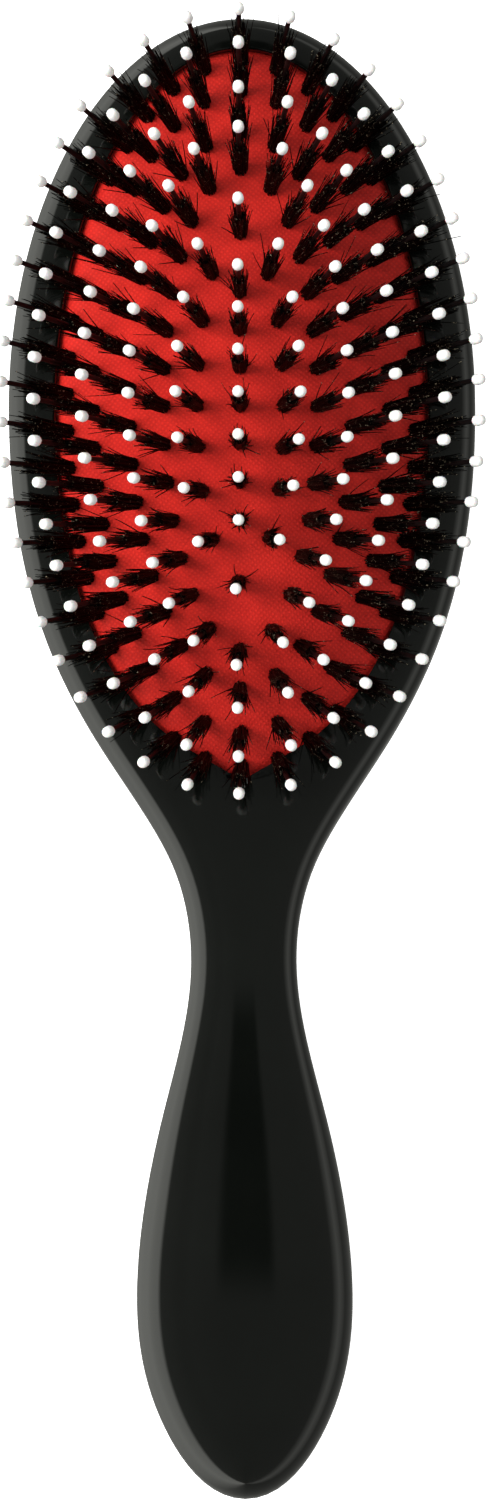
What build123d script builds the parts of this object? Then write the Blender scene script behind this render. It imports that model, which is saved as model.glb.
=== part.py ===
"""Cushion bristle brush: a two-shell body that holds a domed, air-backed pad of pinned bristle tufts.

Frame: X across the brush, Y along it with the head at +Y, Z up through the bristles.
The brush lies on its back, and the origin is the middle of the flat face that it rests on,
level with the widest place of the head. All sizes are in millimetres.
"""
from build123d import *
import math
import os

# ---- Outline of the body, seen from the bristle side ----
head_half_width = 37.0
head_reach = 62.0            # from the widest place of the head up to its tip
neck_half_width = 8.35
neck_reach = 88.3            # from the widest place down to the narrowest place of the neck
bulb_half_width = 16.95
neck_to_bulb = 50.1
bulb_to_end = 34.6

# Free points of the flank: (share of the way down to the next station, share of the width change left)
HEAD_FLANK = [(0.4145, 0.801), (0.5946, 0.529), (0.7384, 0.243), (0.83, 0.094)]
HANDLE_FLANK = (0.493, 0.541)
END_FLANK = (0.6445, 0.7788)

# ---- Side view of the body ----
head_depth = 15.0
neck_underside = 1.2
neck_depth = 12.4
bulb_depth = 17.5
end_underside = 2.2
end_depth = 12.8
end_top_slope = -0.2         # rise per length of the top and the underside where they reach the end
end_underside_slope = 0.12
front_edge_radius = 5.2
back_edge_radius = 6.0
wall = 2.4
parting_height = 7.5         # height of the joint between the two shells

# ---- Tongue that lines up the two shells ----
tongue_thickness = 1.0
tongue_rise = 1.6
tongue_root = 3.0
fit_clearance = 0.1

# ---- Oval opening and the pad that it traps ----
frame_side_width = 7.6       # front face left beside the opening
frame_top_width = 5.6        # front face left above the opening
pad_to_neck = 28.7           # from the opening's lower end to the narrowest place of the neck
flange_overlap = 2.0         # how far the pad's flange runs under the front face
flange_thickness = 1.6
seat_rib_thickness = 1.8
rim_drop = 2.0               # from the front face down to the rubber dome's edge
dome_rise = 10.6
rubber_thickness = 1.9
cloth_thickness = 0.4
dome_skirt = 1.2             # the dome's surface is drawn this much wider, then trimmed

# ---- Tufts ----
edge_margin = 2.0            # from the opening's edge to the outer ring of tufts
pin_reach = 19.5             # from the cloth to the end of the ball tip
bristle_reach = 13.6         # from the cloth to the bristle ends
pin_radius = 0.40
tip_radius = 1.0
tip_length = 2.5
tip_socket = 1.1
tuft_root_radius = 1.2
tuft_end_radius = 1.45
hole_clearance = 0.25
pin_clearance = 0.02
binding_radius = 1.85
binding_height = 1.7
binding_gap = 0.30           # kept between a binding's flat top and the hollow underside of the pad
pin_head_radius = 1.0
pin_head_height = 0.5

# Rings from the outside in: tufts, share of the outer ring's width and length, crowding at mid-length
RINGS = [
    (46, 1.0, 1.0, 0.0),
    (40, 0.848, 0.908, 0.0),
    (34, 0.636, 0.788, 0.0),
    (28, 0.440, 0.682, 0.0),
    (16, 0.247, 0.494, 0.011),
]
CENTRE_ROW_TUFTS = 7
CENTRE_ROW_SHARE = 0.322     # half the centre row's length, as a share of the outer ring's

# ---- How pieces are placed and curves are drawn ----
STANDING = (Align.CENTER, Align.CENTER, Align.MIN)
EVEN = (1.0, 1.0)            # a curve leaves both of its ends at the speed of its own chords
SAME_PLACE = 1e-3            # edges whose middles are nearer than this are one edge
DRILL_SHARE = 3.0            # a drill's length, as a multiple of what it goes through

# ---- Values that follow from the ones above ----
neck_y = -neck_reach
bulb_y = neck_y - neck_to_bulb
end_y = bulb_y - bulb_to_end
opening_top = head_reach - frame_top_width
opening_bottom = neck_y + pad_to_neck
pad_centre = (opening_top + opening_bottom) / 2
opening_half_width = head_half_width - frame_side_width
opening_half_length = (opening_top - opening_bottom) / 2
rim_height = head_depth - rim_drop
flange_top = head_depth - wall
flange_bottom = flange_top - flange_thickness
pad_half_width = opening_half_width - fit_clearance
pad_half_length = opening_half_length - fit_clearance
ring_half_width = opening_half_width - edge_margin
ring_half_length = opening_half_length - edge_margin
above_all = head_depth + bulb_depth
whole_length = head_reach - end_y


def outline(inset):
    """Closed outline of the body, drawn in from its outer edge by inset."""
    flank = [(head_half_width, 0.0)]
    for down, left in HEAD_FLANK:
        flank.append((neck_half_width + (head_half_width - neck_half_width) * left, neck_y * down))
    flank.append((neck_half_width, neck_y))
    down, left = HANDLE_FLANK
    handle_x = neck_half_width + (bulb_half_width - neck_half_width) * left
    flank.append((handle_x, neck_y - neck_to_bulb * down))
    flank.append((bulb_half_width, bulb_y))
    down, left = END_FLANK
    flank.append((bulb_half_width * left, bulb_y - bulb_to_end * down))
    flank.append((0.0, end_y))
    guide = Spline(*flank, tangents=[(0, -1), (-1, 0)], tangent_scalars=EVEN)
    points = []
    for place in flank:
        along = guide.tangent_at(guide.param_at_point(Vector(*place)))
        points.append(Vector(*place) + Vector(along.Y, -along.X) * inset)
    right = Spline(*points, tangents=[(0, -1), (-1, 0)], tangent_scalars=EVEN)
    crown = EllipticalCenterArc((0, 0), head_half_width - inset, head_reach - inset, 0, arc_size=180)
    return make_face([crown, right, mirror(right, Plane.YZ)])


def side_view(inset):
    """Side view of the body in the YZ plane, drawn in from its top and bottom by inset."""
    flat_end = opening_bottom - flange_overlap - seat_rib_thickness
    margin = head_depth
    top = [(flat_end, head_depth), (neck_y, neck_underside + neck_depth), (bulb_y, bulb_depth)]
    top.append((end_y, end_underside + end_depth))
    low = [(flat_end, 0.0), (neck_y, neck_underside), (bulb_y, 0.0), (end_y, end_underside)]
    upper = Spline(*[(y, z - inset) for y, z in top], tangents=[(-1, 0), (-1, end_top_slope)], tangent_scalars=EVEN)
    lower = Spline(*[(y, z + inset) for y, z in low], tangents=[(-1, 0), (-1, end_underside_slope)], tangent_scalars=EVEN)
    tip = head_reach + margin
    tail = end_y - margin
    upper_end = upper @ 1
    lower_end = lower @ 1
    edges = [
        Line((tip, head_depth - inset), upper @ 0),
        upper,
        Line(upper_end, (tail, upper_end.Y)),
        Line((tail, upper_end.Y), (tail, lower_end.Y)),
        Line((tail, lower_end.Y), lower_end),
        lower,
        Line(lower @ 0, (tip, inset)),
        Line((tip, inset), (tip, head_depth - inset)),
    ]
    return Plane.YZ * make_face(edges)


def body_form(inset):
    """Solid of the whole body with rounded edges, drawn in all round by inset."""
    reach = head_half_width + wall
    form = extrude(outline(inset), above_all) & extrude(side_view(inset), reach, both=True)
    middle = parting_height
    rim = form.edges().filter_by(Axis.Z, reverse=True).filter_by(Axis.X, reverse=True)
    front_edges = rim.filter_by(lambda edge: edge.center().Z > middle)
    back_edges = rim.filter_by(lambda edge: edge.center().Z < middle)
    form = fillet(front_edges, front_edge_radius - inset)
    # The first fillet makes the form anew, so the back edges are found again in it.
    back_edges = form.edges().filter_by(
        lambda edge: any((edge.center() - old.center()).length < SAME_PLACE for old in back_edges)
    )
    return fillet(back_edges, back_edge_radius - inset)


def oval(half_width, half_length, low, high):
    """Oval block about the pad's centre, between two heights."""
    return Pos(0, pad_centre, low) * extrude(Ellipse(half_width, half_length), high - low)


def dome_block(rim):
    """Everything under a domed surface that has the given height at the edge of the pad."""
    crest = rim + dome_rise
    edge_x = pad_half_width * dome_skirt
    edge_z = rim + dome_rise * (1 - dome_skirt**2)
    floor = flange_bottom - rubber_thickness - dome_rise
    curve = Bezier((0, crest), (edge_x / 2, crest), (edge_x, edge_z))
    side = Polyline((edge_x, edge_z), (edge_x, floor), (0, floor), (0, crest))
    half = Plane.XZ * make_face([curve, side])
    block = scale(revolve(half, Axis.Z), (1, pad_half_length / pad_half_width, 1))
    return Pos(0, pad_centre, 0) * block


def pad_blanks():
    """The rubber pad and its cloth facing, before their holes."""
    rubber_top = dome_block(rim_height)
    rubber_under = dome_block(rim_height - rubber_thickness)
    cloth_top = dome_block(rim_height + cloth_thickness)
    inside = oval(pad_half_width, pad_half_length, flange_bottom, above_all * 2)
    flange = oval(
        opening_half_width + flange_overlap, opening_half_length + flange_overlap,
        flange_bottom, flange_top,
    )
    rubber = ((rubber_top & inside) + flange) - rubber_under
    cloth = (cloth_top - rubber_top) & inside
    return rubber, cloth


def surface_height(x, y):
    """Height of the cloth over a point of the pad, measured about the pad's centre."""
    fall = (x / pad_half_width) ** 2 + (y / pad_half_length) ** 2
    return rim_height + cloth_thickness + dome_rise * (1 - fall)


def tuft_place(x, y):
    """Location on the cloth with its Z square to the dome."""
    slope_x = 2 * dome_rise * x / pad_half_width**2
    slope_y = 2 * dome_rise * y / pad_half_length**2
    foot = (x, y + pad_centre, surface_height(x, y))
    return Plane(origin=foot, x_dir=(1, 0, -slope_x), z_dir=(slope_x, slope_y, 1)).location


def ring_places(count, width_share, length_share, crowding):
    """Locations evenly spaced along an oval ring, starting at the head's end."""
    half_width = ring_half_width * width_share
    half_length = ring_half_length * length_share
    ring = EllipticalCenterArc((0, 0), half_width, half_length, 0, arc_size=360)
    places = []
    for index in range(count):
        turn = index / count
        along = (0.25 - turn - crowding * math.sin(4 * math.pi * turn)) % 1.0
        spot = ring @ along
        places.append(tuft_place(spot.X, spot.Y))
    return places


def row_places():
    """Locations of the straight row down the middle of the pad."""
    half_length = ring_half_length * CENTRE_ROW_SHARE
    step = 2 * half_length / (CENTRE_ROW_TUFTS - 1)
    return [tuft_place(0, half_length - step * index) for index in range(CENTRE_ROW_TUFTS)]


def turned(*points):
    """Solid turned about Z from the half-section through the given points."""
    return revolve(Plane.XZ * make_face(Polyline(*points, close=True)), Axis.Z)


def tuft_pieces():
    """Pin, ball tip, bristles and binding of one tuft, standing along Z from the cloth at zero."""
    binding_top = -(rubber_thickness + cloth_thickness + binding_gap)
    root = binding_top - binding_height
    pin_end = pin_reach - tip_length + tip_socket
    bore = pin_radius + pin_clearance
    pin = Pos(0, 0, root) * Cylinder(pin_radius, pin_end - root, align=STANDING)
    pin += Pos(0, 0, root - pin_head_height) * Cylinder(pin_head_radius, pin_head_height, align=STANDING)
    base = pin_reach - tip_length
    tip = Pos(0, 0, base + tip_radius) * Sphere(tip_radius)
    tip += Pos(0, 0, base + tip_radius) * Cylinder(tip_radius, tip_length - 2 * tip_radius, align=STANDING)
    tip += Pos(0, 0, pin_reach - tip_radius) * Sphere(tip_radius)
    tip -= Cylinder(bore, pin_end, align=STANDING)
    bristles = turned(
        (bore, root), (tuft_root_radius, root), (tuft_root_radius, 0),
        (tuft_end_radius, bristle_reach), (bore, bristle_reach),
    )
    grip = tuft_root_radius + pin_clearance
    binding = turned((grip, root), (binding_radius, root), (binding_radius, binding_top), (grip, binding_top))
    return {"pins": pin, "ball_tips": tip, "bristle_tufts": bristles, "bindings": binding}


def seat_rib():
    """Oval wall that stands on the back shell's floor and seats the pad's flange."""
    inner = flange_overlap - seat_rib_thickness
    rib = oval(opening_half_width + flange_overlap, opening_half_length + flange_overlap, 0, flange_bottom)
    return rib - oval(opening_half_width + inner, opening_half_length + inner, -wall, above_all)


def from_height(height):
    """Everything above a height."""
    return Pos(0, 0, height) * Box(2 * whole_length, 2 * whole_length, above_all, align=STANDING)


def front_shell_solid():
    """Front shell: face frame with the oval opening, a pocket for the pad's flange, and half the handle."""
    joint = Plane.XY.offset(parting_height)
    front = split(body_form(0), joint, Keep.TOP) - split(body_form(wall), joint, Keep.TOP)
    front -= oval(opening_half_width, opening_half_length, parting_height, above_all)
    pocket = flange_overlap + fit_clearance
    return front - oval(
        opening_half_width + pocket, opening_half_length + pocket,
        flange_bottom - fit_clearance, flange_top,
    )


def back_shell_solid():
    """Back shell: flat back, seat rib, and a tongue that reaches up inside the front shell."""
    joint = Plane.XY.offset(parting_height)
    tongue_low = parting_height - tongue_root
    inside_tongue = outline(wall + fit_clearance + tongue_thickness)
    tongue_void = Pos(0, 0, tongue_low) * extrude(inside_tongue, tongue_root + tongue_rise)
    void = split(body_form(wall), joint, Keep.BOTTOM)
    above = from_height(tongue_low)
    rib = seat_rib()
    beside_tongue = void & above
    void = ((void - above) + (beside_tongue & tongue_void)) - rib
    tongue = Pos(0, 0, parting_height) * extrude(outline(wall + fit_clearance), tongue_rise)
    rib_top = rib & from_height(parting_height - fit_clearance)
    return split(body_form(0), joint, Keep.BOTTOM) - void + (tongue - tongue_void) + rib_top


def holes(places):
    """Clearance holes through the pad for every tuft."""
    depth = rubber_thickness + cloth_thickness + binding_gap
    radius = tuft_root_radius + hole_clearance
    drill = Cylinder(radius, depth * DRILL_SHARE)
    return [place * drill for place in places]


def save(name, shape):
    """Write one node."""
    export_step(shape, f"parts/{name}.step")
    print(name, len(shape.solids()), "solids")


os.makedirs("parts", exist_ok=True)

groups = {f"ring{number}": ring_places(*ring) for number, ring in enumerate(RINGS, start=1)}
groups["centre_row"] = row_places()

save("front_shell", front_shell_solid())
save("back_shell", back_shell_solid())

every_place = [place for places in groups.values() for place in places]
drills = holes(every_place)
rubber_blank, cloth_blank = pad_blanks()
save("cushion_pad", rubber_blank.cut(*drills))
save("pad_cloth", cloth_blank.cut(*drills))

for piece_name, piece in tuft_pieces().items():
    for group_name, places in groups.items():
        copies = [place * piece for place in places]
        save(f"{group_name}_{piece_name}", Compound(children=copies))
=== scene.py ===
"""Looks of an oval cushion bristle brush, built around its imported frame.

Every length is in metres once it leaves a class's fields; the fields themselves are in millimetres.
"""

from __future__ import annotations

import logging
import math
import random
from dataclasses import dataclass, field
from enum import Enum

import bmesh
import bpy
import numpy as np
from mathutils import Matrix, Vector

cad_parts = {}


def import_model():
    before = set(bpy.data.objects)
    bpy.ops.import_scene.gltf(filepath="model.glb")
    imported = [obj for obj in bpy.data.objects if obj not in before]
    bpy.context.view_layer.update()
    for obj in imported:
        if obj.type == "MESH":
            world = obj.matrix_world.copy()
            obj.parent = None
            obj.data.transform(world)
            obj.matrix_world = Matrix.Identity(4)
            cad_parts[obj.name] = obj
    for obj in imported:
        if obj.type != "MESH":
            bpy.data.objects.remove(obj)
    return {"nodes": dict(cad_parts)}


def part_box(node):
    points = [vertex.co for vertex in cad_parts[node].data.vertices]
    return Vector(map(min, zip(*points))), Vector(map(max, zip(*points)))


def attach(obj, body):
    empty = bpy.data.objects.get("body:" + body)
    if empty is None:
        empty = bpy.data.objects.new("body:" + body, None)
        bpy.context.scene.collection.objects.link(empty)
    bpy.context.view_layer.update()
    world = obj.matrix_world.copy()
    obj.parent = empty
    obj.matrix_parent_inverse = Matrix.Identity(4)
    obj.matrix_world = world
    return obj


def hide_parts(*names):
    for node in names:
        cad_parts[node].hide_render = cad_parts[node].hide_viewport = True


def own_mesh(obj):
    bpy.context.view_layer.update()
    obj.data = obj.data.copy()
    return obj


MM = 0.001
MERGE_MM = 0.004
LEVEL_MM = 0.01
GOLDEN_TURN = math.pi * (3 - math.sqrt(5))
LOG = logging.getLogger("bristle_brush")
Socket = bpy.types.NodeSocket


class Body(Enum):
    """Bodies of the frame that pieces ride on."""

    BRUSH = "brush_body"
    TUFTS = "{group}_tufts"

    def of(self, group: str = "") -> str:
        """Return the body's name in the frame.

        Args:
            group: The group of tufts, for the bodies that have one.

        Returns:
            The name.
        """
        return self.value.format(group=group)


class Group(Enum):
    """Groups of tufts that sink together."""

    RING_1 = "ring1"
    RING_2 = "ring2"
    RING_3 = "ring3"
    RING_4 = "ring4"
    RING_5 = "ring5"
    CENTRE_ROW = "centre_row"


# --------------------------------------------------------------------------------------
# Workbench: the hand tools that every class uses
# --------------------------------------------------------------------------------------


class Bench:
    """Small wrappers that keep the operators' selection and mode in order."""

    @staticmethod
    def clear() -> None:
        """Leave edit mode and deselect everything."""
        if bpy.context.object and bpy.context.object.mode != "OBJECT":
            bpy.ops.object.mode_set(mode="OBJECT")
        bpy.ops.object.select_all(action="DESELECT")

    @staticmethod
    def only(obj: bpy.types.Object) -> None:
        """Make one object the only selected and active one.

        Args:
            obj: The object.
        """
        Bench.clear()
        obj.select_set(True)
        bpy.context.view_layer.objects.active = obj

    @staticmethod
    def rename(obj: bpy.types.Object, name: str) -> bpy.types.Object:
        """Name an object and its mesh alike.

        Args:
            obj: The object.
            name: Its name.

        Returns:
            The same object.
        """
        obj.name = name
        obj.data.name = name
        return obj

    @staticmethod
    def copy_of(source: bpy.types.Object, place: Matrix) -> bpy.types.Object:
        """Copy an object with its own mesh and stand the copy at a place.

        Args:
            source: The piece to copy.
            place: Where the copy stands.

        Returns:
            The linked copy.
        """
        twin = source.copy()
        twin.data = source.data.copy()
        twin.matrix_world = place
        bpy.context.collection.objects.link(twin)
        return twin

    @staticmethod
    def join(parts: list[bpy.types.Object], name: str) -> bpy.types.Object:
        """Join parts into one piece whose place is in its mesh.

        Args:
            parts: Objects to join.
            name: The finished piece's name.

        Returns:
            The joined object, at the origin.
        """
        Bench.clear()
        for part in parts:
            part.select_set(True)
        bpy.context.view_layer.objects.active = parts[0]
        bpy.ops.object.join()
        whole = bpy.context.object
        Bench.settle(whole)
        return Bench.rename(whole, name)

    @staticmethod
    def settle(obj: bpy.types.Object) -> None:
        """Move an object's place, turn and scale into its mesh."""
        Bench.only(obj)
        bpy.ops.object.transform_apply(location=True, rotation=True, scale=True)

    @staticmethod
    def modify(obj: bpy.types.Object, kind: str, **settings: object) -> None:
        """Add a modifier, set it and apply it.

        Args:
            obj: The piece to change.
            kind: The modifier's type.
            **settings: Its settings by name.
        """
        Bench.only(obj)
        modifier = obj.modifiers.new(kind.title(), kind)
        for key, value in settings.items():
            setattr(modifier, key, value)
        bpy.ops.object.modifier_apply(modifier=modifier.name)

    @staticmethod
    def smooth(obj: bpy.types.Object, angle: float = 50.0) -> None:
        """Shade a piece smooth up to an angle in degrees."""
        Bench.only(obj)
        bpy.ops.object.shade_smooth_by_angle(angle=math.radians(angle))

    @staticmethod
    def loft(name: str, rows: np.ndarray) -> bpy.types.Object:
        """Extrude a ring of points from row to row, and merge what meets.

        Args:
            name: The piece's name.
            rows: Points in metres, as rows by places round the ring by three.

        Returns:
            The lofted surface.
        """
        Bench.clear()
        bpy.ops.mesh.primitive_circle_add(vertices=rows.shape[1], radius=1.0)
        piece = Bench.rename(bpy.context.object, name)
        for vertex, place in zip(piece.data.vertices, rows[0]):
            vertex.co = place
        bpy.ops.object.mode_set(mode="EDIT")
        bpy.ops.mesh.select_mode(type="EDGE")
        bpy.ops.mesh.select_all(action="SELECT")
        order = {index: index for index in range(rows.shape[1])}
        for row in rows[1:]:
            bpy.ops.mesh.extrude_edges_move()
            shape = bmesh.from_edit_mesh(piece.data)
            shape.verts.index_update()
            following = {}
            for vertex in shape.verts:
                if vertex.select:
                    beside = [edge.other_vert(vertex) for edge in vertex.link_edges]
                    below = next(other for other in beside if not other.select)
                    following[vertex.index] = order[below.index]
                    vertex.co = row[order[below.index]]
            order = following
            bmesh.update_edit_mesh(piece.data)
        bpy.ops.mesh.select_mode(type="VERT")
        bpy.ops.mesh.select_all(action="SELECT")
        bpy.ops.mesh.remove_doubles(threshold=MERGE_MM * MM)
        bpy.ops.mesh.dissolve_degenerate(threshold=MERGE_MM * MM)
        bpy.ops.object.mode_set(mode="OBJECT")
        return piece

    @staticmethod
    def select_open_edges(piece: bpy.types.Object, height: float) -> None:
        """Enter edit mode with the open edges at a height selected.

        Args:
            piece: The piece to edit.
            height: Their height in metres.
        """
        Bench.only(piece)
        bpy.ops.object.mode_set(mode="EDIT")
        bpy.ops.mesh.select_mode(type="EDGE")
        bpy.ops.mesh.select_all(action="DESELECT")
        shape = bmesh.from_edit_mesh(piece.data)
        for edge in shape.edges:
            if edge.is_boundary and all(abs(v.co.z - height) < LEVEL_MM * MM for v in edge.verts):
                edge.select_set(True)
        bmesh.update_edit_mesh(piece.data)

    @staticmethod
    def face_out(piece: bpy.types.Object, outward: Vector | None = None) -> None:
        """Make all faces point outwards.

        Args:
            piece: The piece to turn.
            outward: For an open surface, the direction it faces on the whole.
        """
        Bench.only(piece)
        bpy.ops.object.mode_set(mode="EDIT")
        bpy.ops.mesh.select_all(action="SELECT")
        bpy.ops.mesh.normals_make_consistent(inside=False)
        bpy.ops.object.mode_set(mode="OBJECT")
        facing = sum((face.normal * face.area for face in piece.data.polygons), Vector())
        if outward is not None and facing.dot(outward) < 0:
            bpy.ops.object.mode_set(mode="EDIT")
            bpy.ops.mesh.flip_normals()
            bpy.ops.object.mode_set(mode="OBJECT")


class SmoothLine:
    """A curve with even curvature through a few points, with a set direction at each end."""

    def __init__(self, points: list[tuple[float, float]], start: tuple, end: tuple) -> None:
        """Solve the curve.

        Args:
            points: Stations that the curve passes through.
            start: Direction at the first station.
            end: Direction at the last station.
        """
        self.points = np.array(points, float)
        step = np.linalg.norm(np.diff(self.points, axis=0), axis=1)
        self.knots = np.concatenate([[0.0], np.cumsum(step)])
        count = len(self.points)
        matrix = np.eye(count)
        right = np.zeros((count, 2))
        right[0], right[-1] = start, end
        for i in range(1, count - 1):
            before, after = step[i - 1], step[i]
            matrix[i, i - 1 : i + 2] = after, 2 * (before + after), before
            slope_before = (self.points[i] - self.points[i - 1]) / before
            slope_after = (self.points[i + 1] - self.points[i]) / after
            right[i] = 3 * (after * slope_before + before * slope_after)
        self.slopes = np.linalg.solve(matrix, right)

    def at(self, share: np.ndarray) -> np.ndarray:
        """Return points along the curve.

        Args:
            share: Shares of the way along, by the stations' spacing.

        Returns:
            One point in a row for each share.
        """
        way = np.clip(share, 0, 1) * self.knots[-1]
        i = np.clip(np.searchsorted(self.knots, way, side="right") - 1, 0, len(self.knots) - 2)
        size = self.knots[i + 1] - self.knots[i]
        t = ((way - self.knots[i]) / size)[:, None]
        size = size[:, None]
        back, on = (1 - t) ** 2, t**2
        begin = (1 + 2 * t) * back * self.points[i] + t * back * size * self.slopes[i]
        finish = on * (3 - 2 * t) * self.points[i + 1] + on * (t - 1) * size * self.slopes[i + 1]
        return begin + finish


# --------------------------------------------------------------------------------------
# Finishes
# --------------------------------------------------------------------------------------


class Nodes:
    """Short hand for a material's nodes."""

    def __init__(self, name: str) -> None:
        """Start a material with a principled shader.

        Args:
            name: The material's name.
        """
        self.material = bpy.data.materials.new(name)
        self.material.use_nodes = True
        self.tree = self.material.node_tree
        self.shader = self.tree.nodes["Principled BSDF"]
        self.place = self.add("ShaderNodeTexCoord")

    def add(self, kind: str, **settings: object) -> bpy.types.Node:
        """Add a node and set its properties and its unlinked inputs.

        Args:
            kind: The node's type.
            **settings: Property names, or input names with spaces as underscores.

        Returns:
            The new node.
        """
        node = self.tree.nodes.new(kind)
        for key, value in settings.items():
            if hasattr(node, key):
                setattr(node, key, value)
            else:
                node.inputs[key.replace("_", " ")].default_value = value
        return node

    def link(self, source: Socket, target: Socket) -> None:
        """Join two sockets."""
        self.tree.links.new(source, target)

    def set(self, **values: object) -> None:
        """Set constant values on the shader's own sockets.

        Args:
            **values: Input names with spaces as underscores.
        """
        for key, value in values.items():
            self.shader.inputs[key.replace("_", " ")].default_value = value

    def noise(self, scale: float, detail: float = 2.0, roughness: float = 0.5) -> Socket:
        """Add noise on object coordinates.

        Args:
            scale: Features per metre.
            detail: How many finer layers it has.
            roughness: How strong those are.

        Returns:
            The noise, from 0 to 1.
        """
        node = self.add("ShaderNodeTexNoise", Scale=scale, Detail=detail, Roughness=roughness)
        self.link(self.place.outputs["Object"], node.inputs["Vector"])
        return node.outputs["Fac"]

    def ramp(self, source: Socket, stops: list[tuple[float, tuple]]) -> Socket:
        """Turn a value into a colour through a ramp.

        Args:
            source: The value.
            stops: Positions with their linear colours.

        Returns:
            The colour output.
        """
        node = self.add("ShaderNodeValToRGB")
        elements = node.color_ramp.elements
        for element, (position, colour) in zip(elements, (stops[0], stops[-1])):
            element.position = position
            element.color = (*colour, 1.0)
        for position, colour in stops[1:-1]:
            elements.new(position).color = (*colour, 1.0)
        self.link(source, node.inputs["Fac"])
        return node.outputs["Color"]

    def span(self, source: Socket, low: float, high: float) -> Socket:
        """Stretch a value from 0 and 1 to two others.

        Args:
            source: The value.
            low: What 0 becomes.
            high: What 1 becomes.

        Returns:
            The stretched value.
        """
        node = self.add("ShaderNodeMapRange", To_Min=low, To_Max=high)
        self.link(source, node.inputs["Value"])
        return node.outputs["Result"]

    def combine(self, one: Socket, other: Socket, kind: str) -> Socket:
        """Combine two values with a math operation.

        Args:
            one: The first value.
            other: The second value.
            kind: The operation.

        Returns:
            The result.
        """
        node = self.add("ShaderNodeMath", operation=kind)
        self.link(one, node.inputs[0])
        self.link(other, node.inputs[1])
        return node.outputs["Value"]

    def bump(self, height: Socket, depth_mm: float, strength: float = 1.0) -> None:
        """Drive the shader's normal from a height pattern.

        Args:
            height: The pattern, from 0 to 1.
            depth_mm: How deep it is.
            strength: How much of it shows.
        """
        node = self.add("ShaderNodeBump", Strength=strength, Distance=depth_mm * MM)
        self.link(height, node.inputs["Height"])
        self.link(node.outputs["Normal"], self.shader.inputs["Normal"])


@dataclass(frozen=True)
class GlossPlastic:
    """Polished black moulded plastic with faint handling marks."""

    name: str = "polished_black_plastic"
    colour: tuple[float, float, float] = (0.0016, 0.0020, 0.0016)
    roughness: float = 0.05
    smudging: float = 0.06

    def build(self) -> bpy.types.Material:
        """Make the material's nodes.

        Returns:
            The finished material.
        """
        nodes = Nodes(self.name)
        nodes.set(IOR=1.5, Specular_IOR_Level=0.5, Coat_Weight=0.25, Coat_Roughness=0.05)
        smudge = nodes.noise(38.0, 4.0, 0.6)
        grain = nodes.noise(2600.0, 2.0)
        pale = tuple(c * 1.7 for c in self.colour)
        tint = nodes.ramp(smudge, [(0.3, self.colour), (0.75, pale)])
        nodes.link(tint, nodes.shader.inputs["Base Color"])
        rough = nodes.span(smudge, self.roughness, self.roughness + self.smudging)
        nodes.link(rough, nodes.shader.inputs["Roughness"])
        nodes.bump(grain, 0.0012, 0.5)
        return nodes.material


@dataclass(frozen=True)
class WovenCloth:
    """Fine plain weave, bonded to rubber, in a strong red."""

    name: str = "red_woven_cloth"
    deep: tuple[float, float, float] = (0.56, 0.012, 0.010)
    bright: tuple[float, float, float] = (0.88, 0.030, 0.017)
    pitch_mm: float = 0.62
    turn_degrees: float = 38.0

    def build(self) -> bpy.types.Material:
        """Make the material's nodes.

        Returns:
            The finished material.
        """
        nodes = Nodes(self.name)
        nodes.set(Roughness=0.72, Specular_IOR_Level=0.3, Sheen_Weight=0.10, Sheen_Roughness=0.5)
        weave = self._weave(nodes)
        mottle = nodes.noise(140.0, 5.0, 0.65)
        threads, fading = nodes.span(weave, 0.0, 0.42), nodes.span(mottle, 0.12, 0.75)
        shade = nodes.combine(threads, fading, "ADD")
        colour = nodes.ramp(shade, [(0.2, self.deep), (0.95, self.bright)])
        nodes.link(colour, nodes.shader.inputs["Base Color"])
        nodes.bump(weave, 0.09, 0.8)
        return nodes.material

    def _weave(self, nodes: Nodes) -> Socket:
        """Return the height of warp and weft threads that pass over and under each other.

        Args:
            nodes: The material being built.

        Returns:
            A value of 0 between threads and 1 on their crowns.
        """
        turned = nodes.add("ShaderNodeMapping")
        turned.inputs["Rotation"].default_value = (0.0, 0.0, math.radians(self.turn_degrees))
        nodes.link(nodes.place.outputs["Object"], turned.inputs["Vector"])
        per_metre = math.pi / (self.pitch_mm * MM)
        split = nodes.add("ShaderNodeSeparateXYZ")
        nodes.link(turned.outputs["Vector"], split.inputs["Vector"])
        threads = []
        for axis in ("X", "Y"):
            angle = nodes.add("ShaderNodeMath", operation="MULTIPLY")
            angle.inputs[1].default_value = per_metre
            nodes.link(split.outputs[axis], angle.inputs[0])
            wave = nodes.add("ShaderNodeMath", operation="SINE")
            nodes.link(angle.outputs["Value"], wave.inputs[0])
            threads.append(wave.outputs["Value"])
        crossing = nodes.combine(threads[0], threads[1], "MULTIPLY")
        return nodes.span(nodes.combine(crossing, crossing, "MULTIPLY"), 0.0, 1.0)


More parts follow.
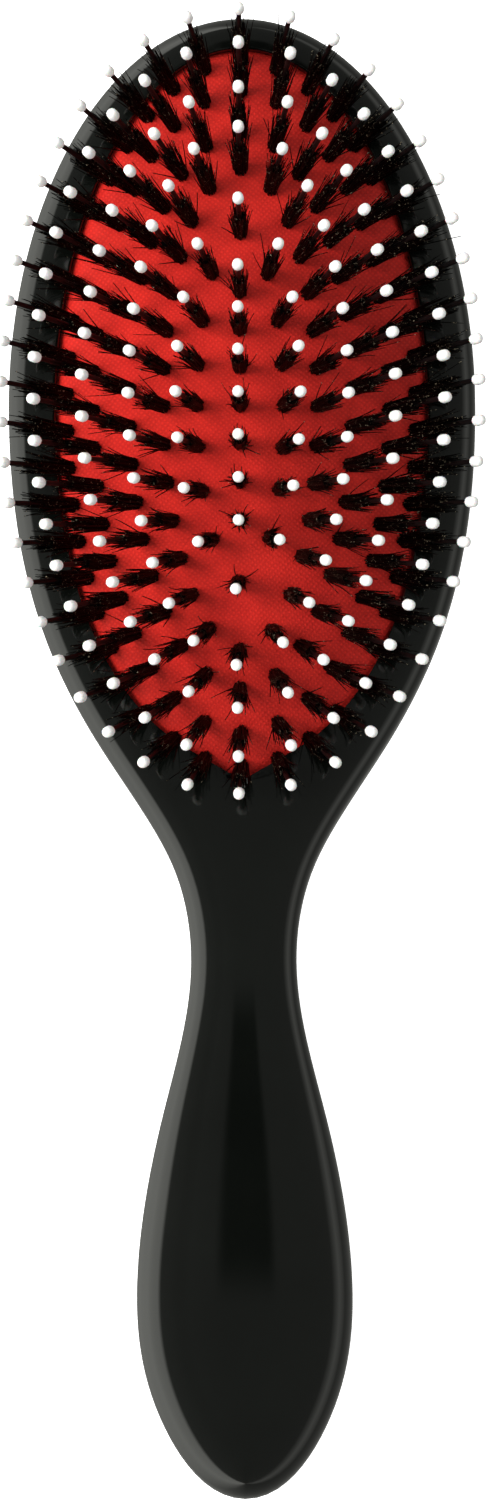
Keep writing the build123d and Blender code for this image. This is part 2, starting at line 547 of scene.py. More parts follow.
@dataclass(frozen=True)
class PlainFinish:
    """A smooth or matt moulded finish with slight variation, and for some a painted glint: rare
    bright specks in its colour.
    """

    name: str
    colour: tuple[float, float, float]
    roughness: float
    variation: float = 0.25
    grain_per_metre: float = 900.0
    grain_mm: float = 0.004
    specular: float = 0.5
    subsurface: float = 0.0
    ior: float = 1.5
    painted_glint: tuple[float, float, float] | None = None

    def build(self) -> bpy.types.Material:
        """Make the material's nodes.

        Returns:
            The finished material.
        """
        nodes = Nodes(self.name)
        nodes.set(IOR=self.ior, Specular_IOR_Level=self.specular)
        nodes.set(Subsurface_Weight=self.subsurface, Subsurface_Scale=0.0006)
        cloud = nodes.noise(self.grain_per_metre, 3.0)
        low = tuple(c * (1 - self.variation) for c in self.colour)
        stops = [(0.3, low), (0.60, self.colour)]
        # Painted glint: rare bright specks in the colour stand in for light caught by trimmed bristle
        # ends.
        if self.painted_glint:
            stops += [(0.645, self.colour), (0.675, self.painted_glint)]
        tint = nodes.ramp(cloud, stops)
        nodes.link(tint, nodes.shader.inputs["Base Color"])
        rough = nodes.span(cloud, self.roughness * 0.85, self.roughness * 1.15)
        nodes.link(rough, nodes.shader.inputs["Roughness"])
        nodes.bump(cloud, self.grain_mm, 0.6)
        return nodes.material


BALL_COAT = PlainFinish(
    "white_ball_coat",
    (0.90, 0.90, 0.88),
    0.30,
    variation=0.05,
    grain_per_metre=700.0,
    grain_mm=0.003,
    subsurface=0.15,
)
PIN_NYLON = PlainFinish(
    "black_pin_nylon", (0.004, 0.004, 0.004), 0.38, variation=0.3, specular=0.3, ior=1.35
)
BRISTLE = PlainFinish(
    "black_bristle",
    (0.0016, 0.0015, 0.0014),
    0.45,
    variation=0.5,
    grain_per_metre=2200.0,
    specular=0.10,
    ior=1.2,
    # Painted glint colour for the bright specks on the bristle ends.
    painted_glint=(0.34, 0.29, 0.20),
)
RUBBER = PlainFinish("red_rubber", (0.30, 0.012, 0.012), 0.75, variation=0.3)
BINDING = PlainFinish("binding_nylon", (0.06, 0.055, 0.05), 0.5, variation=0.3)


# --------------------------------------------------------------------------------------
# The body's two shells
# --------------------------------------------------------------------------------------


@dataclass
class BodyShells:
    """Front and back shells of the head, neck and handle."""

    neck_half_width: float = 8.35
    neck_reach: float = 88.3
    bulb_half_width: float = 16.95
    neck_to_bulb: float = 50.1
    head_depth: float = 15.0
    neck_underside: float = 1.2
    neck_depth: float = 12.4
    bulb_depth: float = 17.5
    end_underside: float = 2.2
    end_depth: float = 12.8
    end_top_slope: float = -0.2
    end_underside_slope: float = 0.12
    flat_reach: float = 63.4
    parting: float = 7.5
    seam: float = 0.12
    front_radius: float = 5.2
    bulb_softening: float = 2.4
    back_radius: float = 6.0
    handle_crown: float = 4.2
    crown_power: float = 3.0
    frame_crown: float = 0.5
    lip_radius: float = 0.45
    lip_depth: float = 2.4
    pocket: float = 2.1
    wall: float = 2.4
    hollow: float = 4.3
    change_length: float = 34.0
    columns: int = 150
    face_rows: int = 14
    head_flank: tuple = ((0.4145, 0.801), (0.5946, 0.529), (0.7384, 0.243), (0.83, 0.094))
    handle_flank: tuple[float, float] = (0.493, 0.541)
    end_flank: tuple[float, float] = (0.6445, 0.7788)
    finish: GlossPlastic = field(default_factory=GlossPlastic)

    def __post_init__(self) -> None:
        """Take the overall sizes from the frame."""
        front = np.array(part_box("front_shell")) / MM
        cloth = np.array(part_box("pad_cloth")) / MM
        self.half_width = float(front[1][0])
        self.top_y = float(front[1][1])
        self.end_y = float(front[0][1])
        self.bulb_y = -self.neck_reach - self.neck_to_bulb
        self.open_half_width = float(cloth[1][0] - cloth[0][0]) / 2 + 0.1
        self.open_half_length = float(cloth[1][1] - cloth[0][1]) / 2 + 0.1
        self.open_y = float(cloth[1][1] + cloth[0][1]) / 2
        tall = [
            (self.flat_reach, self.head_depth),
            (self.neck_reach, self.neck_underside + self.neck_depth),
            (-self.bulb_y, self.bulb_depth),
            (-self.end_y, self.end_underside + self.end_depth),
        ]
        low = [
            (self.flat_reach, 0.0),
            (self.neck_reach, self.neck_underside),
            (-self.bulb_y, 0.0),
            (-self.end_y, self.end_underside),
        ]
        even = np.linspace(0, 1, 400)
        self.top_line = SmoothLine(tall, (1, 0), (1, self.end_top_slope)).at(even)
        self.low_line = SmoothLine(low, (1, 0), (1, self.end_underside_slope)).at(even)

    def outline(self) -> tuple[np.ndarray, np.ndarray]:
        """Draw the right-hand outline from the head's tip to the handle's end.

        Returns:
            Its points in plan, evenly spaced, and the inward normal at each.
        """
        neck, head = self.neck_half_width, self.half_width
        stations = [(head, 0.0)]
        for down, left in self.head_flank:
            stations.append((neck + (head - neck) * left, -self.neck_reach * down))
        stations.append((neck, -self.neck_reach))
        down, left = self.handle_flank
        swell = neck + (self.bulb_half_width - neck) * left
        stations.append((swell, -self.neck_reach - self.neck_to_bulb * down))
        stations.append((self.bulb_half_width, self.bulb_y))
        down, left = self.end_flank
        taper = self.bulb_half_width * left
        stations.append((taper, self.bulb_y + (self.end_y - self.bulb_y) * down))
        stations.append((0.0, self.end_y))
        side = SmoothLine(stations, (0, -1), (-1, 0)).at(np.linspace(0, 1, 3000))
        angle = np.linspace(0, math.pi / 2, 1200)
        crown = np.stack([head * np.sin(angle), self.top_y * np.cos(angle)], axis=1)
        whole = np.concatenate([crown[:-1], side])
        length = np.concatenate([[0], np.cumsum(np.linalg.norm(np.diff(whole, axis=0), axis=1))])
        even = np.linspace(0, length[-1], self.columns)
        points = np.stack([np.interp(even, length, whole[:, i]) for i in range(2)], axis=1)
        near = 0.05
        steps = []
        for line in whole.T:
            ahead, behind = np.interp(even + near, length, line), np.interp(even - near, length, line)
            steps.append(ahead - behind)
        along = np.stack(steps, axis=1)
        along /= np.linalg.norm(along, axis=1)[:, None]
        normals = np.stack([along[:, 1], -along[:, 0]], axis=1)
        normals[0], normals[-1] = (0, -1), (0, 1)
        return points, normals

    def crown_at(self, y: np.ndarray) -> np.ndarray:
        """Find how much the front face falls from its middle to its edges.

        Args:
            y: Places along the brush.

        Returns:
            The fall at each place.
        """
        share = self.eased((-y - self.flat_reach + 6) / self.change_length)
        return self.frame_crown + (self.handle_crown - self.frame_crown) * share

    def front_radii(self) -> np.ndarray:
        """Find the front edge's radius, which is larger round the bulb.

        Returns:
            The radius at each place of the outline.
        """
        points, _ = self.outline()
        share = self.eased((-points[:, 1] - self.neck_reach - 8) / self.change_length)
        return self.front_radius + self.bulb_softening * share

    @staticmethod
    def eased(share: np.ndarray) -> np.ndarray:
        """Return shares from 0 to 1 that start and end gently."""
        share = np.clip(share, 0, 1)
        return share * share * (3 - 2 * share)

    def columns_of(self, inner: np.ndarray, radius: np.ndarray, front: bool) -> np.ndarray:
        """Return the right-hand half of a shell's surface, from the seam to its middle.

        Args:
            inner: Where each column ends, in plan.
            radius: Radius of the rounded edge at each column.
            front: Whether this is the bristle side.

        Returns:
            Points in millimetres, as rows by columns by three.
        """
        points, normals = self.outline()
        sign = 1.0 if front else -1.0
        line = self.top_line if front else self.low_line
        width = np.abs(points[:, 0])

        def face(plan: np.ndarray) -> np.ndarray:
            """Find the height of the shell's face.

            Args:
                plan: Points in plan.

            Returns:
                The height over each point.
            """
            height = np.interp(-plan[:, 1], line[:, 0], line[:, 1])
            local = np.interp(-plan[:, 1], -points[:, 1], width)
            share = np.clip(np.abs(plan[:, 0]) / np.maximum(local, 1.0), 0, 1)
            fall = self.crown_at(plan[:, 1]) - (0.0 if front else self.frame_crown)
            return height - sign * fall * share**self.crown_power

        radius = radius[:, None]
        edge = face(points + normals * radius)
        parting = np.full(len(points), self.parting)
        rows = [
            np.column_stack([points + normals * self.seam, parting]),
            np.column_stack([points, parting + sign * self.seam]),
        ]
        tall = np.minimum(radius[:, 0], np.abs(edge - self.parting) - 2 * self.seam)
        for turn in np.linspace(0, math.pi / 2, 11):
            plan = points + normals * radius * (1 - math.cos(turn))
            rows.append(np.column_stack([plan, edge - sign * tall * (1 - math.sin(turn))]))
        start = points + normals * radius
        for share in np.linspace(0, 1, self.face_rows + 1)[1:]:
            plan = start + (inner - start) * share
            rows.append(np.column_stack([plan, face(plan)]))
        return np.array(rows)

    def both_sides(self, right: np.ndarray) -> np.ndarray:
        """Mirror the right-hand half to the left.

        Args:
            right: Rows of the right-hand half.

        Returns:
            Rows that each go once round.
        """
        left = right[:, ::-1] * np.array([-1.0, 1.0, 1.0])
        return np.concatenate([right, left[:, 1:-1]], axis=1)

    def front_rows(self) -> np.ndarray:
        """Lay out the front shell, with the oval opening and its rolled lip.

        Returns:
            Its rows, in millimetres.
        """
        points, _ = self.outline()
        open_end = self.open_y - self.open_half_length
        reach = np.linspace(0, 1, self.columns)
        split = int(np.searchsorted(-points[:, 1], -(open_end + 10.0)))
        inner = np.zeros_like(points)
        angle = np.linspace(0, math.pi, split + 1)
        inner[: split + 1, 0] = self.open_half_width * np.sin(angle)
        inner[: split + 1, 1] = self.open_y + self.open_half_length * np.cos(angle)
        rest = (reach[split:] - reach[split]) / (1 - reach[split])
        inner[split:, 1] = open_end + (self.end_y + self.front_radius + 6.0 - open_end) * rest
        inner[split:, 0] = 0.0
        right = self.columns_of(inner, self.front_radii(), True)
        away = inner - np.array([0.0, self.open_y])
        away /= np.linalg.norm(away, axis=1)[:, None]
        in_opening = np.arange(self.columns) <= split
        last = right[-1].copy()
        flat = last[:, 2]
        lip = []
        for turn in np.linspace(0, math.pi / 2, 5):
            plan = inner + away * self.lip_radius * (1 - math.sin(turn))
            drop = self.lip_radius * (1 - math.cos(turn))
            row = np.column_stack([plan, flat - drop])
            lip.append(np.where(in_opening[:, None], row, last))
        level = self.head_depth - self.lip_depth
        behind = inner + away * self.pocket
        for plan, height in ((inner, level), (behind, level), (behind, self.parting)):
            row = np.column_stack([plan, np.full(len(plan), height)])
            lip.append(np.where(in_opening[:, None], row, last))
        body = right.copy()
        shift = away * self.lip_radius
        shares = np.linspace(0, 1, self.face_rows + 1)[1:]
        for number, share in enumerate(shares, start=len(right) - self.face_rows):
            body[number, in_opening, :2] += (shift * share)[in_opening]
        return self.both_sides(np.concatenate([body, np.array(lip)[1:]]))

    def back_rows(self) -> np.ndarray:
        """Lay out the back shell, closed down its middle.

        Returns:
            Its rows, in millimetres.
        """
        points, _ = self.outline()
        inner = np.zeros_like(points)
        reach = np.linspace(0, 1, self.columns)
        high = self.top_y - 34.0
        low = self.end_y + self.back_radius + 4.0
        inner[:, 1] = high + (low - high) * reach
        return self.both_sides(self.columns_of(inner, np.full(self.columns, self.back_radius), False))

    def build(self) -> list[bpy.types.Object]:
        """Model, dress and place both shells.

        Returns:
            The front and back shells.
        """
        front = Bench.loft("front_shell_skin", self.front_rows() * MM)
        Bench.select_open_edges(front, self.parting * MM)
        bpy.ops.mesh.fill(use_beauty=True)
        back = Bench.loft("back_shell_skin", self.back_rows() * MM)
        Bench.select_open_edges(back, self.parting * MM)
        bpy.ops.mesh.edge_face_add()
        bpy.ops.mesh.inset(thickness=self.wall * MM)
        deep = {"value": (0, 0, -self.hollow * MM)}
        bpy.ops.mesh.extrude_region_move(TRANSFORM_OT_translate=deep)
        material = self.finish.build()
        for shell, node in ((front, "front_shell"), (back, "back_shell")):
            Bench.face_out(shell)
            Bench.smooth(shell, 42.0)
            shell.data.materials.append(material)
            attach(shell, Body.BRUSH.of())
            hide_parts(node)
            LOG.info("%s: %d faces", shell.name, len(shell.data.polygons))
        return [front, back]


# --------------------------------------------------------------------------------------
# The pad
# --------------------------------------------------------------------------------------


@dataclass
class Pad:
    """Woven cloth over a rubber dome."""

    rings: int = 56
    around: int = 240
    dimple: float = 0.28
    dimple_reach: float = 1.7
    cloth: float = 0.3
    cloth_skirt: float = 0.35
    rubber_drop: float = 1.5
    rubber_wall: float = 0.8
    flange: float = 1.9
    flange_inside: float = 1.6
    flange_top: float = 12.55
    flange_bottom: float = 11.1
    press: float = 5.0
    cloth_finish: WovenCloth = field(default_factory=WovenCloth)

    def __post_init__(self) -> None:
        """Take the dome's sizes from the frame."""
        low, high = (np.array(corner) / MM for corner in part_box("pad_cloth"))
        self.half_width = float(high[0] - low[0]) / 2
        self.half_length = float(high[1] - low[1]) / 2
        self.middle = float(high[1] + low[1]) / 2
        self.rim = float(low[2]) + 0.4
        self.rise = float(high[2]) - self.rim

    def dome(self, drop: float, skirt: list[tuple[float, float]]) -> np.ndarray:
        """Return rows of a dome from its crest to its rim, with a skirt below.

        Args:
            drop: How far the dome lies under the cloth.
            skirt: Further rows, as (outward from the rim, height).

        Returns:
            Points in millimetres.
        """
        angle = np.linspace(0, 2 * math.pi, self.around, endpoint=False)
        circle = np.stack([np.sin(angle), np.cos(angle)], axis=1)
        rows = []
        for share in np.linspace(0, 1, self.rings):
            plan = circle * np.array([self.half_width, self.half_length]) * share
            height = self.rim - drop + self.rise * (1 - share**2)
            rows.append(np.column_stack([plan, np.full(len(angle), height)]))
        for out, height in skirt:
            plan = circle * np.array([self.half_width + out, self.half_length + out])
            rows.append(np.column_stack([plan, np.full(len(angle), height)]))
        return (np.array(rows) + np.array([0.0, self.middle, 0.0]))[::-1]

    def pull_in(self, cloth: bpy.types.Object, feet: list[Vector]) -> None:
        """Draw the cloth down a little round every tuft.

        Args:
            cloth: The cloth's surface.
            feet: Where the tufts stand on it.
        """
        places = np.array([vertex.co for vertex in cloth.data.vertices])
        for foot in feet:
            away = np.linalg.norm(places - np.array(foot), axis=1) / (self.dimple_reach * MM)
            places[:, 2] -= self.dimple * MM * np.exp(-(away**2))
        cloth.data.vertices.foreach_set("co", places.ravel())
        cloth.data.update()

    def build(self) -> list[bpy.types.Object]:
        """Model, dress and place the cloth and the rubber.

        Returns:
            The cloth and the rubber dome.
        """
        edge = self.rim - self.cloth_skirt
        cloth = Bench.loft("pad_cloth_skin", self.dome(0.0, [(0.0, edge)]) * MM)
        self.pull_in(cloth, [site.foot for group in Group for site in tuft_sites(group)])
        Bench.face_out(cloth, Vector((0, 0, 1)))
        Bench.modify(cloth, "SOLIDIFY", thickness=self.cloth * MM, offset=-1.0)
        rubber = Bench.loft("cushion_skin", self.dome(self.rubber_drop, []) * MM)
        Bench.face_out(rubber, Vector((0, 0, 1)))
        Bench.modify(rubber, "SOLIDIFY", thickness=self.rubber_wall * MM, offset=-1.0)
        flange = self.flange_ring()
        rubber_finish = RUBBER.build()
        for piece, node, slot, material in (
            (cloth, "pad_cloth", "pad_cloth", self.cloth_finish.build()),
            (rubber, "cushion_pad", "cushion_rubber", rubber_finish),
            (flange, "cushion_pad", "cushion_rubber", rubber_finish),
        ):
            Bench.smooth(piece, 60.0)
            piece.data.materials.append(material)
            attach(piece, Body.BRUSH.of())
            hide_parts(node)
            LOG.info("%s: %d faces", piece.name, len(piece.data.polygons))
        for piece, height in ((cloth, self.rim), (rubber, self.rim - self.rubber_drop)):
            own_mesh(piece)
        return [cloth, rubber, flange]

    def flange_ring(self) -> bpy.types.Object:
        """Model the flat rim that the front shell clamps.

        Returns:
            The rim, as a closed ring.
        """
        inner, outer = -self.flange_inside, self.flange
        high, low = self.flange_top, self.flange_bottom
        corners = [(inner, high), (outer, high), (outer, low), (inner, low), (inner, high)]
        angle = np.linspace(0, 2 * math.pi, self.around, endpoint=False)
        circle = np.stack([np.sin(angle), np.cos(angle)], axis=1)
        rows = []
        for out, height in corners:
            plan = circle * np.array([self.half_width + out, self.half_length + out])
            level = np.full(len(angle), height)
            rows.append(np.column_stack([plan[:, 0], plan[:, 1] + self.middle, level]))
        ring = Bench.loft("cushion_flange_skin", np.array(rows) * MM)
        Bench.face_out(ring)
        return ring


# --------------------------------------------------------------------------------------
# Tufts
# --------------------------------------------------------------------------------------


@dataclass
class TuftSite:
    """Where one tuft stands: its foot on the cloth and the direction of its pin."""

    foot: Vector
    axis: Vector

    def place(self, spin: float, scale: float = 1.0) -> Matrix:
        """Return the placement of a piece modelled along Z from the cloth.

        Args:
            spin: Turn about the pin, in radians.
            scale: Size of the copy.

        Returns:
            The matrix that stands it here.
        """
        turn = self.axis.to_track_quat("Z", "Y").to_matrix().to_4x4()
        size = Matrix.Rotation(spin, 4, "Z") @ Matrix.Scale(scale, 4)
        return Matrix.Translation(self.foot) @ turn @ size


PIN_FOOT_MM = 4.8  # from a pin's lowest point up to the cloth


def tuft_sites(group: Group) -> list[TuftSite]:
    """Read where a group's pins stand from the frame.

    Args:
        group: The group of tufts.

    Returns:
        One site for each pin.
    """
    mesh = frame_nodes()[f"{group.value}_pins"].data
    points = np.array([vertex.co for vertex in mesh.vertices])
    microns = np.round(points / 1e-6).astype(np.int64)
    welded, index = np.unique(microns, axis=0, return_inverse=True)
    index = index.ravel()
    parent = list(range(len(welded)))

    def root(i: int) -> int:
        """Find the first point of a point's pin.

        Args:
            i: The point.

        Returns:
            The pin's first point.
        """
        while parent[i] != i:
            parent[i] = parent[parent[i]]
            i = parent[i]
        return i

    for edge in mesh.edges:
        one, other = root(index[edge.vertices[0]]), root(index[edge.vertices[1]])
        parent[max(one, other)] = min(one, other)
    label = np.array([root(i) for i in range(len(welded))])
    places = welded * 1e-6
    found = []
    for first in sorted(set(label)):
        pin = places[label == first]
        centre = pin.mean(axis=0)
        axis = np.linalg.svd(pin - centre)[2][0]
        axis *= np.sign(axis[2])
        low = ((pin - centre) @ axis).min()
        foot = centre + axis * (low + PIN_FOOT_MM * MM)
        found.append(TuftSite(Vector(foot), Vector(axis)))
    return found


@dataclass
class Tufts:
    """Bristle tufts with their pins and ball tips."""

    pin_reach: float = 19.5
    bristle_reach: float = 13.6
    root_radius: float = 1.12
    end_radius: float = 1.80
    core_share: float = 0.70
    sink: float = 0.62
    bristle_radius: float = 0.125
    bristles: int = 66
    variants: int = 7
    bends: tuple[float, ...] = (0.0, 0.35, 0.8)
    tip_radius: float = 0.92
    tip_length: float = 2.6
    seed: int = 41

    def __post_init__(self) -> None:
        """Start the seeded draw."""
        self.draw = random.Random(self.seed)

    def bristle(self, name: str, bend: float) -> bpy.types.Object:
        """Model one bristle along Z from its root, with a bend near its free end.

        Args:
            name: The bristle's name.
            bend: How far its end leans, in millimetres.

        Returns:
            The bristle.
        """
        length = (self.bristle_reach + self.sink) * MM
        Bench.clear()
        bpy.ops.mesh.primitive_cone_add(
            vertices=4,
            radius1=self.bristle_radius * MM,
            radius2=self.bristle_radius * 0.45 * MM,
            depth=length,
            location=(0, 0, length / 2 - self.sink * MM),
        )
        hair = Bench.rename(bpy.context.object, name)
        Bench.settle(hair)
        bpy.ops.object.mode_set(mode="EDIT")
        for share in (0.45, 0.78):
            bpy.ops.mesh.select_all(action="SELECT")
            height = length * share - self.sink * MM
            bpy.ops.mesh.bisect(plane_co=(0, 0, height), plane_no=(0, 0, 1))
        bpy.ops.object.mode_set(mode="OBJECT")
        for vertex in hair.data.vertices:
            rise = max(0.0, vertex.co.z) / (self.bristle_reach * MM)
            vertex.co.x += bend * MM * rise**2.2
        return hair

    def core(self) -> bpy.types.Object:
        """Model the dense middle of a tuft, where single bristles can't be told apart.

        Returns:
            The middle.
        """
        Bench.clear()
        height = self.bristle_reach * self.core_share * MM
        bpy.ops.mesh.primitive_cone_add(
            vertices=9,
            radius1=self.root_radius * 0.85 * MM,
            radius2=self.root_radius * 0.80 * MM,
            depth=height + self.sink * MM,
            location=(0, 0, (height - self.sink * MM) / 2),
        )
        bpy.ops.object.mode_set(mode="EDIT")
        bpy.ops.mesh.select_all(action="SELECT")
        bpy.ops.mesh.vertices_smooth(factor=0.15)
        bpy.ops.object.mode_set(mode="OBJECT")
        return bpy.context.object

    def tuft(self, number: int) -> bpy.types.Object:
        """Model one tuft of uneven bristles that flare a little from a tight root.

        Args:
            number: The variant's number.

        Returns:
            The tuft, standing along Z from the cloth.
        """
        stock = [self.bristle(f"bristle_{number}_{k}", bend) for k, bend in enumerate(self.bends)]
        parts = []
        for index in range(self.bristles):
            share = math.sqrt((index + 0.5) / self.bristles)
            turn = index * GOLDEN_TURN + self.draw.uniform(-0.3, 0.3)
            root = Vector((math.cos(turn), math.sin(turn), 0)) * self.root_radius * share * MM
            flare = (self.end_radius - self.root_radius) * share * self.draw.uniform(0.2, 1.7)
            lean = math.atan2(flare, self.bristle_reach)
            if self.draw.random() < 0.045:
                lean += self.draw.uniform(0.08, 0.26)
            shortest, longest = (0.80, 1.04) if share < 0.7 else (0.60, 1.0)
            reach = self.draw.uniform(shortest, longest)
            axis = Vector((math.cos(turn), math.sin(turn), 0)) * math.sin(lean)
            axis.z = math.cos(lean)
            stand = axis.to_track_quat("Z", "Y").to_matrix().to_4x4()
            spin = Matrix.Rotation(self.draw.uniform(0, math.tau), 4, "Z")
            place = Matrix.Translation(root) @ stand @ spin @ Matrix.Diagonal((1, 1, reach, 1))
            parts.append(Bench.copy_of(self.draw.choice(stock), place))
        parts.append(self.core())
        whole = Bench.join(parts, f"tuft_{number}")
        for hair in stock:
            bpy.data.objects.remove(hair)
        return whole

    def ball(self) -> bpy.types.Object:
        """Model one ball tip: a short rounded bead drawn out along its pin.

        Returns:
            The ball tip, standing along Z from the cloth.
        """
        Bench.clear()
        base = (self.pin_reach - self.tip_length + self.tip_radius) * MM
        bpy.ops.mesh.primitive_uv_sphere_add(
            segments=12, ring_count=8, radius=self.tip_radius * MM, location=(0, 0, base)
        )
        bead = Bench.rename(bpy.context.object, "ball_tip")
        Bench.settle(bead)
        stretch = (self.tip_length - 2 * self.tip_radius) * MM
        for vertex in bead.data.vertices:
            if vertex.co.z > base + LEVEL_MM * MM:
                vertex.co.z += stretch
        Bench.smooth(bead, 80.0)
        return bead

    def build(self) -> list[bpy.types.Object]:
        """Model, dress and place every tuft and ball tip.

        Returns:
            A piece of bristles and a piece of ball tips for each group.
        """
        coat, hair = BALL_COAT.build(), BRISTLE.build()
        nylon, binding = PIN_NYLON.build(), BINDING.build()
        tufts = [self.tuft(number) for number in range(self.variants)]
        bead = self.ball()
        made = []
        for group in Group:
            sites = tuft_sites(group)
            for stock, part, slot, material in (
                (tufts, "bristle_tufts", "bristle", hair),
                ([bead], "ball_tips", "ball_tip", coat),
            ):
                copies = []
                for site in sites:
                    spin = self.draw.uniform(0, math.tau)
                    size = self.draw.uniform(0.97, 1.03)
                    scale = size if part == "bristle_tufts" else 1.0
                    place = site.place(spin, scale)
                    copies.append(Bench.copy_of(self.draw.choice(stock), place))
                piece = Bench.join(copies, f"{group.value}_{part}_fine")
                piece.data.materials.clear()
                piece.data.materials.append(material)
                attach(piece, Body.TUFTS.of(group.value))
                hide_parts(f"{group.value}_{part}")
                LOG.info("%s: %d faces", piece.name, len(piece.data.polygons))
                made.append(piece)
            for part, material in (("pins", nylon), ("bindings", binding)):
                Dress.node(f"{group.value}_{part}", material)
            LOG.info("%s: %d tufts", group.value, len(sites))
        for stock in [*tufts, bead]:
            bpy.data.objects.remove(stock)
        return made


class Dress:
    """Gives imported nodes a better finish."""

    @staticmethod
    def node(name: str, material: bpy.types.Material) -> None:
        """Put a material on every slot of a node's object.

        Args:
            name: The node.
            material: Its finish.
        """
        obj = frame_nodes()[name]
        for slot in obj.material_slots:
            slot.material = material
        if not obj.material_slots:
            obj.data.materials.append(material)


_NODES: dict[str, bpy.types.Object] = {}


def frame_nodes() -> dict[str, bpy.types.Object]:
    """Return the frame's nodes by name."""
    return _NODES


# --------------------------------------------------------------------------------------
# Studio
# --------------------------------------------------------------------------------------


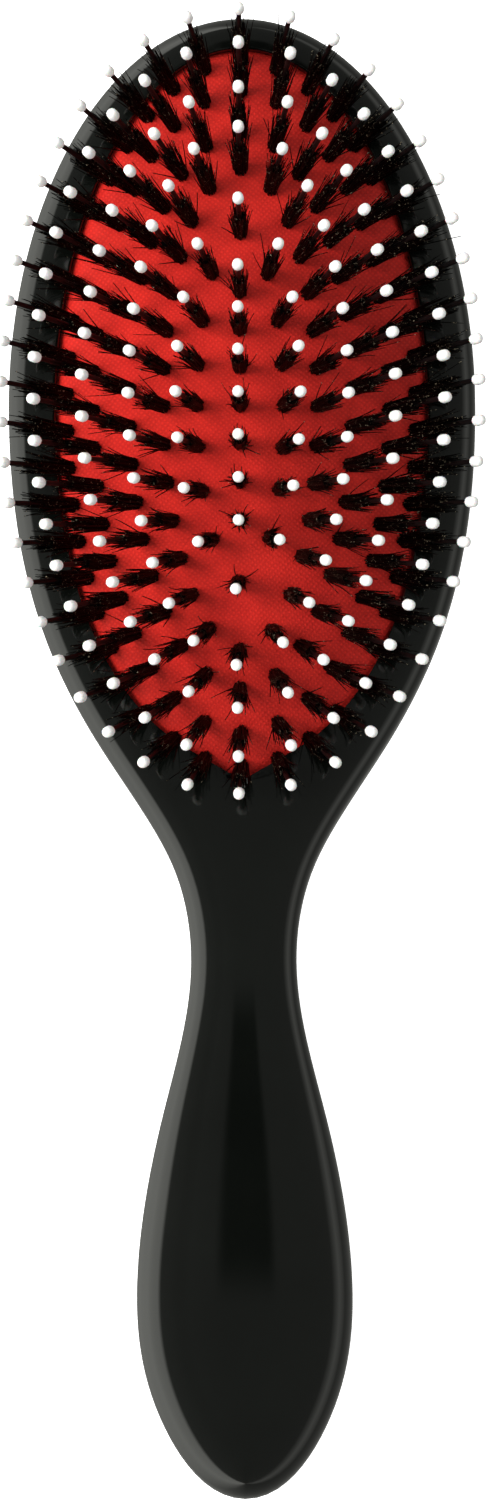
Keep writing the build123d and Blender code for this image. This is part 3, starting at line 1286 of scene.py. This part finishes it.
@dataclass
class Studio:
    """Pale floor, soft lights and a long-lens camera almost straight above."""

    view_height: float = 237.4
    aim: tuple[float, float, float] = (0.76, -54.5, 7.5)
    lean: float = 5.64
    side_lean: float = 1.03
    turn: float = -0.18
    distance: float = 2200.0
    sensor: float = 24.0
    room_strength: float = 2.0
    room: tuple[tuple[float, float], ...] = (
        (0.0, 0.10),
        (0.18, 0.09),
        (0.24, 0.34),
        (0.30, 0.09),
        (0.5, 0.07),
        (0.60, 0.09),
        (0.665, 0.10),
        (0.69, 0.80),
        (0.78, 0.80),
        (0.84, 0.50),
        (0.92, 0.18),
        (1.0, 0.10),
    )
    tone: tuple[float, float, float] = (0.99, 1.0, 0.93)
    gap_width: tuple[float, float] = (0.06, 0.14)
    gap_start: tuple[float, float] = (0.085, 0.20)
    gap_height: tuple[float, float] = (0.75, 0.88)
    gap_share: float = 0.1
    lamps: tuple = (
        ("key_light", 3.2, 40.0, (-0.68, 0.12, 0.72)),
        ("fill_light", 1.8, 150.0, (0.0, 0.0, 1.0)),
    )

    def camera(self) -> None:
        """Set a long-lens camera almost straight above the brush."""
        target = Vector(self.aim) * MM
        out = Vector((math.sin(math.radians(self.side_lean)), -math.sin(math.radians(self.lean)), 0))
        out.z = math.sqrt(1 - out.x**2 - out.y**2)
        right = Vector((0, 1, 0)).cross(out).normalized()
        up = out.cross(right)
        basis = Matrix((right, up, out)).transposed().to_4x4()
        data = bpy.data.cameras.new("camera")
        data.sensor_fit = "VERTICAL"
        data.sensor_height = self.sensor
        data.lens = self.sensor * self.distance / self.view_height
        data.clip_end = 50.0
        camera = bpy.data.objects.new("camera", data)
        spin = Matrix.Rotation(math.radians(self.turn), 4, "Z")
        camera.matrix_world = Matrix.Translation(target + out * self.distance * MM) @ basis @ spin
        bpy.context.collection.objects.link(camera)
        bpy.context.scene.camera = camera

    def floor(self) -> None:
        """Lay the pale floor that the brush lies on."""
        Bench.clear()
        bpy.ops.mesh.primitive_plane_add(size=6.0, location=(0, 0, -0.0002))
        floor = Bench.rename(bpy.context.object, "floor")
        Bench.settle(floor)
        nodes = Nodes("pale_floor")
        nodes.set(Base_Color=(0.9, 0.9, 0.9, 1.0), Roughness=0.9, Specular_IOR_Level=0.1)
        nodes.set(Emission_Color=(1.0, 1.0, 1.0, 1.0), Emission_Strength=1.0)
        floor.data.materials.append(nodes.material)
        floor.visible_glossy = False
        floor.visible_diffuse = False

    def surround(self) -> None:
        """Light the brush from all round: a bright wall on its left and a dim room elsewhere."""
        world = bpy.data.worlds.new("studio")
        world.use_nodes = True
        tree = world.node_tree
        background = tree.nodes["Background"]
        place = tree.nodes.new("ShaderNodeTexCoord")
        split = tree.nodes.new("ShaderNodeSeparateXYZ")
        tree.links.new(place.outputs["Generated"], split.inputs["Vector"])
        flipped = tree.nodes.new("ShaderNodeMath")
        flipped.operation = "MULTIPLY"
        flipped.inputs[1].default_value = -1.0
        tree.links.new(split.outputs["X"], flipped.inputs[0])
        turn = tree.nodes.new("ShaderNodeMath")
        turn.operation = "ARCTAN2"
        tree.links.new(flipped.outputs["Value"], turn.inputs[0])
        tree.links.new(split.outputs["Z"], turn.inputs[1])
        share = tree.nodes.new("ShaderNodeMapRange")
        share.inputs["From Min"].default_value = -math.pi
        share.inputs["From Max"].default_value = math.pi
        tree.links.new(turn.outputs["Value"], share.inputs["Value"])
        ramp = tree.nodes.new("ShaderNodeValToRGB")
        tree.links.new(share.outputs["Result"], ramp.inputs["Fac"])
        elements = ramp.color_ramp.elements
        stops = self.room
        for element, (position, _) in zip(elements, (stops[0], stops[-1])):
            element.position = position
        for position, _ in stops[1:-1]:
            elements.new(position)
        for element, (_, level) in zip(elements, stops):
            element.color = (*(level * part for part in self.tone), 1.0)
        tree.links.new(ramp.outputs["Color"], background.inputs["Color"])
        tree.links.new(self.gap(tree, split), background.inputs["Strength"])
        bpy.context.scene.world = world

    def gap(self, tree: bpy.types.NodeTree, split: bpy.types.Node) -> Socket:
        """Work out the room's strength, with a dark gap overhead towards the head's end.

        Args:
            tree: The world's nodes.
            split: The node that gives the direction's parts.

        Returns:
            The strength.
        """
        side = tree.nodes.new("ShaderNodeMath")
        side.operation = "ABSOLUTE"
        tree.links.new(split.outputs["X"], side.inputs[0])
        shares = []
        for source, span, ends in (
            (side.outputs["Value"], self.gap_width, (1.0, 0.0)),
            (split.outputs["Y"], self.gap_start, (0.0, 1.0)),
            (split.outputs["Z"], self.gap_height, (0.0, 1.0)),
        ):
            edge = tree.nodes.new("ShaderNodeMapRange")
            edge.interpolation_type = "SMOOTHSTEP"
            edge.inputs["From Min"].default_value, edge.inputs["From Max"].default_value = span
            edge.inputs["To Min"].default_value, edge.inputs["To Max"].default_value = ends
            tree.links.new(source, edge.inputs["Value"])
            shares.append(edge.outputs["Result"])
        both = shares[0]
        for share in shares[1:]:
            product = tree.nodes.new("ShaderNodeMath")
            product.operation = "MULTIPLY"
            tree.links.new(both, product.inputs[0])
            tree.links.new(share, product.inputs[1])
            both = product.outputs["Value"]
        strength = tree.nodes.new("ShaderNodeMapRange")
        strength.inputs["To Min"].default_value = self.room_strength
        strength.inputs["To Max"].default_value = self.room_strength * self.gap_share
        tree.links.new(both, strength.inputs["Value"])
        return strength.outputs["Result"]

    def soft_lamps(self) -> None:
        """Add broad soft lights that leave no reflection."""
        for name, power, angle, source in self.lamps:
            data = bpy.data.lights.new(name, "SUN")
            data.energy = power
            data.angle = math.radians(angle)
            light = bpy.data.objects.new(name, data)
            light.matrix_world = Vector(source).to_track_quat("Z", "Y").to_matrix().to_4x4()
            light.visible_glossy = False
            bpy.context.collection.objects.link(light)

    def build(self) -> None:
        """Set up the whole studio."""
        bpy.context.scene.view_settings.view_transform = "Standard"
        self.camera()
        self.surround()
        self.floor()
        self.soft_lamps()


def main() -> None:
    """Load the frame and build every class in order."""
    logging.basicConfig(level=logging.INFO, format="%(message)s")
    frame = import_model()
    _NODES.update(frame["nodes"])
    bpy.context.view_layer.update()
    Studio().build()
    BodyShells().build()
    Pad().build()
    Tufts().build()


if __name__ == "__main__":
    main()
